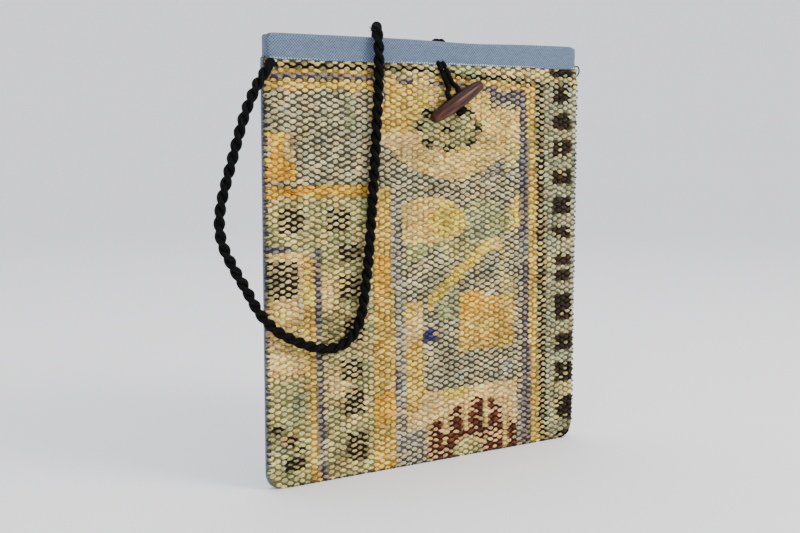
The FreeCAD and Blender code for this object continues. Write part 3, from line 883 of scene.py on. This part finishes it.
def cotton_shell():
    """The cotton back with its narrow sides and base in one, their edges rounded forward."""
    profile = [(0.4, RUG_BACK + 0.3), (0.1, 0.2), (0.0, 1.8), (0.5, 3.3), (1.6, 4.4), (3.4, 5.0)]
    grid = []
    rows = [0.0, 0.7, 2.0, 3.8, 6.0, 8.6, 11.2] + [13 + k * 348 / 70 for k in range(71)]
    rows += [362.5, 366.0, 371.0, 376.0, 379.2, 380.4]
    inset_last = profile[-1][0]
    for z in rows:
        half = outline_half(min(z, BAND_BOTTOM), WALL_HALF, CORNER - 1)
        if z > BAND_BOTTOM:
            half = WALL_HALF - (WALL_HALF - BAND_HALF) * min(1.0, (z - BAND_BOTTOM) / 3)
        inner = [-1 + 2 * k / 60 for k in range(61)]
        row = []
        lift = inset_last * (1 - z / 40) if z < 40 else 0.0
        for dx, y in profile[:-1]:
            up = dx * max(0.0, 1 - z / 13)
            row.append((-half + dx, y, z + up))
        for s in inner:
            x = s * (half - inset_last)
            row.append((x, 5.0 + back_wave(x, z) * min(1.0, z / 20), z + max(0.0, lift)))
        for dx, y in reversed(profile[:-1]):
            up = dx * max(0.0, 1 - z / 13)
            row.append((half - dx, y, z + up))
        grid.append(row)
    obj = closed_sheet("cotton_back", grid, COTTON, blue_cotton)
    return obj


def cotton_base():
    """The narrow strip under the bag."""
    grid = []
    half = WALL_HALF - CORNER + 1
    for k in range(50):
        x = -half + 2 * half * k / 49
        lift = 0.1 * noise.noise(Vector((x / 30, 0, 4)))
        grid.append([(x, y, z + abs(lift)) for y, z in ((RUG_BACK, 0.1), (0.5, 0.0), (2.5, 0.0),
                                                        (3.9, 0.5), (4.6, 1.6), (4.9, 3.6))])
    return closed_sheet("cotton_base", grid, COTTON * 0.9, blue_cotton, 1)


def band_height(x):
    """The rim's height along the band, with a gentle dip."""
    t = x / BAND_HALF
    dip = 1.4 * math.exp(-((t - 0.25) / 0.3) ** 2)
    ends = 1.6 * max(0.0, (abs(t) - 0.965) / 0.035) ** 2
    return BAG_HEIGHT + 0.1 - dip - ends


def top_band():
    """The band of folded cotton in front, open below."""
    grid = []
    for k in range(111):
        s = -1 + 2 * k / 110
        x = BAND_HALF * (s * 0.9 + 0.1 * math.sin(s * math.pi / 2))
        top = band_height(x)
        low = BAND_BOTTOM - 0.6 - 0.6 * noise.noise(Vector((x / 40, 1, 1)))
        wave = 0.3 * noise.noise(Vector((x / 60, 3, 1)))
        end = 0.8 * max(0.0, (abs(s) - 0.97) / 0.03)
        front, back = BAND_FRONT - 0.7 + end, BAND_BACK - 0.1 - end * 0.4
        row = []
        for share in (0.0, 0.12, 0.3, 0.5, 0.7, 0.86):
            y = front + wave * math.sin(share * math.pi) + 0.25 * math.sin(share * 9 + x / 37)
            row.append((x, y, low + (top - 2.0 - low) * share))
        row += [(x, front + 0.1, top - 1.5), (x, front + 0.6, top - 0.5), (x, (front + back) / 2, top),
                (x, back - 0.5, top - 0.5), (x, back, top - 1.5)]
        for share in (0.7, 0.4, 0.15, 0.0):
            row.append((x, back, low + (top - 2.0 - low) * share))
        grid.append(row)
    return closed_sheet("top_band", grid, COTTON, blue_cotton, -1)


def band_side(side):
    """The band's return at one side of the mouth."""
    grid = []
    for z in (BAND_BOTTOM - 1.0, BAND_BOTTOM + 5, BAND_BOTTOM + 10, BAND_BOTTOM + 15, 379.6):
        row = []
        for share in (0.0, 0.2, 0.4, 0.6, 0.8, 1.0):
            bulge = 0.7 * math.sin(share * math.pi)
            row.append((side * (BAND_HALF - 0.3 + bulge), BAND_FRONT + 0.4 + share * 9.2, z))
        grid.append(row)
    return closed_sheet("band_side_" + ("right" if side > 0 else "left"), grid, COTTON, blue_cotton, 0)


def lining_pocket():
    """The lining, down the front, over the base and up the back."""
    line = [(-1.15, BAND_BOTTOM - k * 358 / 30) for k in range(31)]
    line += [(-0.6, 1.7), (1.3, 1.3), (3.2, 1.7)]
    line += [(3.75, 3 + k * 358 / 30) for k in range(31)]
    grid = []
    for k in range(41):
        s = -1 + 2 * k / 40
        row = []
        for y, z in line:
            x = s * (outline_half(z, WALL_HALF - 1.2, CORNER - 2) - 0.3)
            ripple = 0.12 * noise.noise(Vector((x / 25, z / 60, y)))
            row.append((x, y + ripple, z))
        grid.append(row)
    return closed_sheet("lining", grid, LINING * 0.8, lining_cotton, 0)


# ---- stitches ----------------------------------------------------------------------------------
def stitches():
    """The rows of stitches, one piece for each seam."""
    made = {}
    for side, word in ((-1, "left"), (1, "right")):
        places = []
        z = 17.0
        while z < 348:
            places.append((side * (RUG_HALF - 1.1), -3.2, z + rng.uniform(-0.9, 0.9)))
            z += rng.choice((3.6, 4.4, 5.6, 6.2))
        made[word] = scatter(f"side_stitches_{word}_thread", bow_tree, places, None, dark_thread,
                             (3.6, 5.6, 6.2), 0.15, (0.2, 0.1, 0.4), (16, 0, 6),
                             (0, 0, 0 if side > 0 else 180), 20 + side)
    places = []
    x = -150.0
    while x < 151:
        places.append((x, -3.0, 1.3))
        x += rng.uniform(3.2, 4.6)
    made["base"] = scatter("base_stitches_thread", bow_tree, places, None, dark_thread,
                           (2.6, 5.2, 9.0), 0.1, (0.3, 0.1, 0.1), (5, 0, 10), (0, 90, 0), 31)
    for name, y, z in (("band", BAND_FRONT - 1.15, BAND_BOTTOM + 0.5),
                       ("hem", BACK_FACE + 0.15, BAND_BOTTOM + 1.6)):
        places = []
        x = -BAND_HALF + 2.5
        while x < BAND_HALF - 2:
            places.append((x, y, z + 0.25 * noise.noise(Vector((x / 9, 0, 0)))))
            x += 2.7
        made[name] = scatter(f"{name}_stitches_thread", ball_tree, places, None, pale_thread,
                             (2.2, 1.2, 1.3), 0.15, (0.2, 0.05, 0.25), (0, 16, 0), (0, 0, 0), 41)
    return made


def corner_thread():
    """The loop of thread that stands out at the right top corner."""
    route = [Vector((163.5, -4.4, 362.5)), Vector((167.2, -5.2, 364.2)), Vector((170.4, -5.0, 361.0)),
             Vector((170.6, -4.2, 357.0)), Vector((168.4, -3.6, 354.0))]
    line = spaced(spline_points(route, 12), 0.6)
    return tube_object("corner_thread", [tube_data(line, 0.75, 8)], dark_thread)


# ---- handle ------------------------------------------------------------------------------------
def handle():
    """Two strands of black yarn, laid round each other along the route."""
    centre = spaced(spline_points(HANDLE_ROUTE, 24), 1.35)
    strand = 2.5
    off = ROPE_DIAMETER / 2 - strand + 0.3
    parts = []
    axes = frames(centre)
    for turn in (0.0, math.pi):
        line, s = [], 0.0
        for i, (p, (tangent, side, up)) in enumerate(zip(centre, axes)):
            if i:
                s += (p - centre[i - 1]).length
            angle = -2 * math.pi * s / ROPE_PITCH + turn
            line.append(p + (side * math.cos(angle) + up * math.sin(angle)) * off)

        def thick(s, total, low=strand):
            near = min(s, total - s)
            return low * min(1.0, 0.7 + near / 9)
        parts.append(tube_data(line, thick, 14))
    return tube_object("handle", parts, rope_yarn), centre


def handle_root(side):
    """The flattened end of the handle under the band, and the thick bend just before it."""
    x, y, z = HANDLE_ROUTE[0] if side < 0 else HANDLE_ROUTE[-1]
    flat_y = RUG_FRONT + 2.2 if side < 0 else y - 2.6
    flat = [(x - side * 9.5, flat_y, z + 1.0), (x - side * 5.0, flat_y, z + 1.3), (x - side * 1.0, y, z)]
    bend = [(x - side * 1.4, y + 0.2 * side, BAND_BOTTOM + 0.4), (x - side * 0.4, y, z + 2.2),
            (x + side * 3.2, y, z - 3.2)]
    parts = []
    for route, radius in ((flat, 2.4), (bend, 4.1)):
        line = fine_ends(spaced(spline_points(route, 10), 0.8), radius)
        parts.append(tube_data(line, round_ends(radius), 16))
    return tube_object("handle_root_" + ("right" if side > 0 else "left"), parts, rope_yarn)


def handle_fray():
    """Loose fibres where the handle bends over the rim."""
    parts = []
    for k in range(9):
        foot = Vector((-66.5, -9.5 + rng.uniform(-4, 4), 387 + rng.uniform(-3, 3)))
        out = Vector((rng.uniform(-4.6, -2.2), rng.uniform(-2.4, 1.4), rng.uniform(-0.8, 3.2)))
        tip = foot + out
        line = [foot, foot.lerp(tip, 0.5) + Vector((0, 0, 0.5)), tip]
        parts.append(tube_data(line, lambda s, total: 0.22 if s < total * 0.8 else 0.1, 4))
    return tube_object("handle_fray", parts, rope_yarn)


def sewn_end(side):
    """Bars of thread that hold the flattened end of the handle."""
    x, y, z = HANDLE_ROUTE[0] if side < 0 else HANDLE_ROUTE[-1]
    parts = []
    for k in range(3):
        across = x - side * (2.0 + 2.6 * k)
        depth = -5.4 if side < 0 else 5.6
        line = [Vector((across, depth + (0.7 if side < 0 else -0.7), z - 4.2)),
                Vector((across + 0.3, depth - 0.4 * (1 if side < 0 else -1), z - 1)),
                Vector((across - 0.2, depth + (0.7 if side < 0 else -0.7), z + 3.4))]
        parts.append(tube_data(spaced(spline_points(line, 8), 1.0), 0.55, 6))
    return tube_object("handle_sewing_" + ("right" if side > 0 else "left"), parts, dark_thread)


# ---- toggle ------------------------------------------------------------------------------------
def toggle_axes():
    """The toggle's own directions: along its axis, across it down the front, and backward."""
    tilt = math.radians(TOGGLE_TILT)
    return (Vector((math.cos(tilt), 0, math.sin(tilt))), Vector((math.sin(tilt), 0, -math.cos(tilt))),
            Vector((0, 1, 0)))


def toggle_point(along, across):
    """A point at two distances from the toggle's centre, along its axis and across it."""
    u, v, _ = toggle_axes()
    return Vector(TOGGLE_CENTRE) + u * along + v * across


def toggle():
    """The turned spindle with flat, softly rounded ends."""
    half, end, mid = TOGGLE_LENGTH / 2, TOGGLE_END / 2, TOGGLE_DIAMETER / 2
    outline = [(-half, 0.0), (-half, end * 0.5), (-half + 0.15, end * 0.78), (-half + 0.7, end * 0.95)]
    for k in range(1, 40):
        t = -1 + 2 * k / 40
        outline.append((t * half, end + (mid - end) * (1 - t * t) ** 0.9))
    outline += [(half - 0.7, end * 0.95), (half - 0.15, end * 0.78), (half, end * 0.5), (half, 0.0)]
    u, v, w = toggle_axes()
    sides = 48
    verts, faces = [], []
    for along, radius in outline[1:-1]:
        for k in range(sides):
            a = 2 * math.pi * k / sides
            verts.append(Vector(TOGGLE_CENTRE) + u * along + (v * math.cos(a) + w * math.sin(a)) * radius)
    rings = len(outline) - 2
    for r in range(rings - 1):
        for k in range(sides):
            n = (k + 1) % sides
            faces.append((r * sides + k, r * sides + n, (r + 1) * sides + n, (r + 1) * sides + k))
    for ring, along in ((0, -half), (rings - 1, half)):
        verts.append(Vector(TOGGLE_CENTRE) + u * along)
        middle = len(verts) - 1
        for k in range(sides):
            n = (k + 1) % sides
            faces.append((middle, ring * sides + k, ring * sides + n))
    return outward(make_object("toggle_spindle", verts, faces, toggle_wood))


def cord_route():
    """The toggle's cord: down its left leg to the knot and up the right one."""
    top, bottom = Vector(NECK_TOP), Vector(NECK_BOTTOM)
    down = (bottom - top).normalized()
    aside = Vector((-down.z, 0, down.x))
    sides = []
    for side in (-1, 1):
        shift = aside * (side * LEG_OFFSET)
        sides.append([top + shift, bottom + shift, bottom + down * LEG_START + shift,
                      toggle_point(side * HOLE_SPREAD, -TOGGLE_DIAMETER / 2 - CORD_DIAMETER),
                      toggle_point(side * LEG_OFFSET * 1.1, TOGGLE_DIAMETER / 2 + KNOT_HEIGHT * 0.4)])
    return sides[0] + list(reversed(sides[1]))


def toggle_cord():
    """The one cord that carries the toggle."""
    line = fine_ends(spaced(spline_points(cord_route(), 20), 0.8), CORD_DIAMETER / 2)
    tube = tube_data(line, round_ends(CORD_DIAMETER / 2), 16)
    return tube_object("toggle_cord", [tube], cord_yarn), line


def cord_exit():
    """The two legs of the toggle's cord where they come out from under the band."""
    parts = []
    for side in (-1, 1):
        x, y, z = NECK_TOP
        route = [(x + side * LEG_OFFSET - 1.6, -3.6, 363.0), (x + side * LEG_OFFSET - 1.2, -5.9, 361.6),
                 (x + side * LEG_OFFSET * 0.9 - 0.6, -7.6, 359.2),
                 (x + side * LEG_OFFSET * 0.87, y, z + side * 1.1)]
        line = fine_ends(spaced(spline_points(route, 10), 0.6), CORD_DIAMETER / 2)
        parts.append(tube_data(line, round_ends(CORD_DIAMETER / 2 - 0.05), 16))
    return tube_object("cord_exit", parts, cord_yarn)


def toggle_knot():
    """The cord's knot under the toggle: two turns of cord pulled tight."""
    parts = []
    centre = toggle_point(0, TOGGLE_DIAMETER / 2 + KNOT_HEIGHT / 2 - 0.1)
    u, v, w = toggle_axes()
    for lean, lift, wide in ((0.5, -0.4, 3.9), (-0.45, 0.8, 3.4)):
        line = []
        for k in range(33):
            a = 2 * math.pi * k / 32
            line.append(centre + u * (wide * math.cos(a)) + w * (2.3 * math.sin(a))
                        + v * (lift + lean * math.cos(a + 0.7) * 1.4))
        parts.append(tube_data(line, 2.05, 12))
    core = []
    for k in range(9):
        core.append(centre + v * (-2.2 + 4.6 * k / 8))
    parts.append(tube_data(fine_ends(core, 2.6), round_ends(2.6), 14))
    return tube_object("cord_knot", parts, cord_yarn)


# ---- closing loop ------------------------------------------------------------------------------
def loop_tails():
    """The two sewn ends of the closing loop, folded over the rim."""
    parts = []
    for side in (-1, 1):
        x = LOOP_X + side * LEG_OFFSET
        route = [(x, 8.6, 351.8), (x, 8.6, 362.0), (x, 8.6, 373.5), (x, 8.6, 380.9), (x, 11.0, 382.6),
                 (x, 15.8, 382.6), (x, 18.2, 380.9), (x, LOOP_Y, 377.9)]
        line = spaced(spline_points(route, 12), 0.8)
        parts.append(tube_data(line, CORD_DIAMETER / 2, 16))
    return tube_object("loop_sewn", parts, cord_yarn)


def loop_free():
    """The part of the closing loop that hangs free behind the back."""
    half = LOOP_HALF_WIDTH
    eye = [(LEG_OFFSET, -2.3), (LEG_OFFSET, 4.0), (half * 0.32, 16.5), (half * 0.82, 36.3),
           (half, 52.8), (half * 0.55, 66.0)]
    route = [(LOOP_X - dx, LOOP_Y, LOOP_TOP - drop) for dx, drop in eye]
    route += [(LOOP_X + dx, LOOP_Y, LOOP_TOP - drop) for dx, drop in reversed(eye)]
    line = fine_ends(spaced(spline_points(route, 16), 0.8), CORD_DIAMETER / 2)
    tube = tube_data(line, round_ends(CORD_DIAMETER / 2), 16)
    return tube_object("loop_free", [tube], cord_yarn), line


def loop_sewing():
    """Thread that holds the loop's ends to the back."""
    parts = []
    for z in (357.0, 363.5):
        for k in range(2):
            line = [Vector((11.8, 6.4, z + k * 1.3)), Vector((12.6, 10.9, z + k * 1.3 + 0.2)),
                    Vector((17.0, 11.6, z + k * 1.3 - 0.1)), Vector((21.4, 10.9, z + k * 1.3)),
                    Vector((22.2, 6.4, z + k * 1.3))]
            parts.append(tube_data(spaced(spline_points(line, 8), 1.0), 0.5, 6))
    return tube_object("loop_sewing", parts, dark_thread)


# ---- build -------------------------------------------------------------------------------------
carpet = carpet_ground()
knots = carpet_knots()
wefts = carpet_wefts()
shell = cotton_shell()
base = cotton_base()
band = top_band()
sides = [band_side(-1), band_side(1)]
lining = lining_pocket()
threads = stitches()
loop_at_corner = corner_thread()
rope, rope_line = handle()
fray = handle_fray()
roots = [handle_root(-1), handle_root(1)]
sewing = [sewn_end(-1), sewn_end(1)]
spindle = toggle()
cord, cord_line = toggle_cord()
knot = toggle_knot()
exit_piece = cord_exit()
tails = loop_tails()
free_loop, loop_line = loop_free()
loop_threads = loop_sewing()

ROOT_PIECES = {
    "rug_wool": [carpet, *knots, *wefts],
    "blue_cotton": [shell, base, band, *sides],
    "lining_cotton": [lining],
    "dark_thread": [threads["left"], threads["right"], threads["base"], loop_at_corner, *sewing,
                    loop_threads],
    "light_thread": [threads["band"], threads["hem"]],
    "black_rope": [rope, fray, *roots],
    "black_cord": [tails, exit_piece],
}
for slot_name, objects in ROOT_PIECES.items():
    for obj in objects:
        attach(obj, "root")
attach(spindle, "toggle")
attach(knot, "toggle")
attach(free_loop, "closing_loop")

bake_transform(cord)

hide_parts("rug_panel")
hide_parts("back_panel", "side_strip_left", "side_strip_right", "back_hem", "back_interlining")
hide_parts("base_strip")
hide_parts("front_band", "band_stiffener")
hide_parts("toggle_cord_tail")
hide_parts("band_end_left")
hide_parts("band_end_right")
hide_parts("front_lining", "back_lining", "base_lining", "side_lining_left", "side_lining_right")
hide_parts("side_stitches_left")
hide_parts("side_stitches_right")
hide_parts("base_stitches")
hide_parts("band_stitches")
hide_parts("back_hem_stitches")
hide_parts("handle_rope")
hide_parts("handle_end_left")
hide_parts("handle_end_right")
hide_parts("handle_tack_left")
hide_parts("handle_tack_right")
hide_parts("toggle")
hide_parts("toggle_cord_neck", "toggle_cord_left", "toggle_cord_right")
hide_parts("toggle_knot")
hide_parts("closing_loop_tails")
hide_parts("closing_loop")
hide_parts("closing_loop_tack")

# ---- stage -------------------------------------------------------------------------------------
stage_material = new_material("stage", 0.9, (253, 253, 255))[0]
floor_verts, floor_faces = [], []
PROFILE = [(0.0, 0.0), (0.6, 0.0), (1.4, 0.0), (2.6, 0.0), (3.0, 0.06), (3.4, 0.26), (3.7, 0.6),
           (3.9, 1.1), (4.0, 1.8), (4.0, 4.0)]
SPOKES = 96
for radius, height in PROFILE[1:]:
    for k in range(SPOKES):
        a = 2 * math.pi * k / SPOKES
        floor_verts.append((radius * math.cos(a) / MM, radius * math.sin(a) / MM, height / MM))
floor_verts.append((0, 0, 0))
for k in range(SPOKES):
    floor_faces.append((len(floor_verts) - 1, k, (k + 1) % SPOKES))
for r in range(len(PROFILE) - 2):
    for k in range(SPOKES):
        n = (k + 1) % SPOKES
        floor_faces.append((r * SPOKES + k, (r + 1) * SPOKES + k, (r + 1) * SPOKES + n, r * SPOKES + n))
floor = make_object("floor", floor_verts, floor_faces, stage_material)

world = bpy.data.worlds.new("world")
bpy.context.scene.world = world
world.use_nodes = True
world.node_tree.nodes["Background"].inputs["Color"].default_value = (0.96, 0.975, 1.0, 1.0)
world.node_tree.nodes["Background"].inputs["Strength"].default_value = 1.04


def area_light(name, place, aim, size, power, colour=(1, 1, 1)):
    """A round lamp that shines at a point."""
    data = bpy.data.lights.new(name, "AREA")
    data.shape = "DISK"
    data.size = size
    data.energy = power
    data.color = colour
    lamp = bpy.data.objects.new(name, data)
    bpy.context.collection.objects.link(lamp)
    lamp.location = place
    lamp.rotation_euler = (Vector(aim) - Vector(place)).to_track_quat("-Z", "Y").to_euler()


area_light("key", (1.0, -1.7, 1.5), (0, 0, 0.15), 0.9, 38, (1.0, 0.985, 0.96))
area_light("fill", (-1.6, -1.2, 1.4), (0, 0, 0.2), 1.6, 8, (0.96, 0.98, 1.0))
area_light("top", (0.2, 0.5, 2.2), (0, 0, 0), 1.8, 16)

camera_data = bpy.data.cameras.new("camera")
camera_data.lens = CAMERA_LENS
camera_data.sensor_width = SENSOR
camera_data.clip_start = 0.05
camera_data.clip_end = 50
camera = bpy.data.objects.new("camera", camera_data)
bpy.context.collection.objects.link(camera)
camera.location = CAMERA_PLACE
camera.rotation_euler = [math.radians(a) for a in CAMERA_TURN]
bpy.context.scene.camera = camera
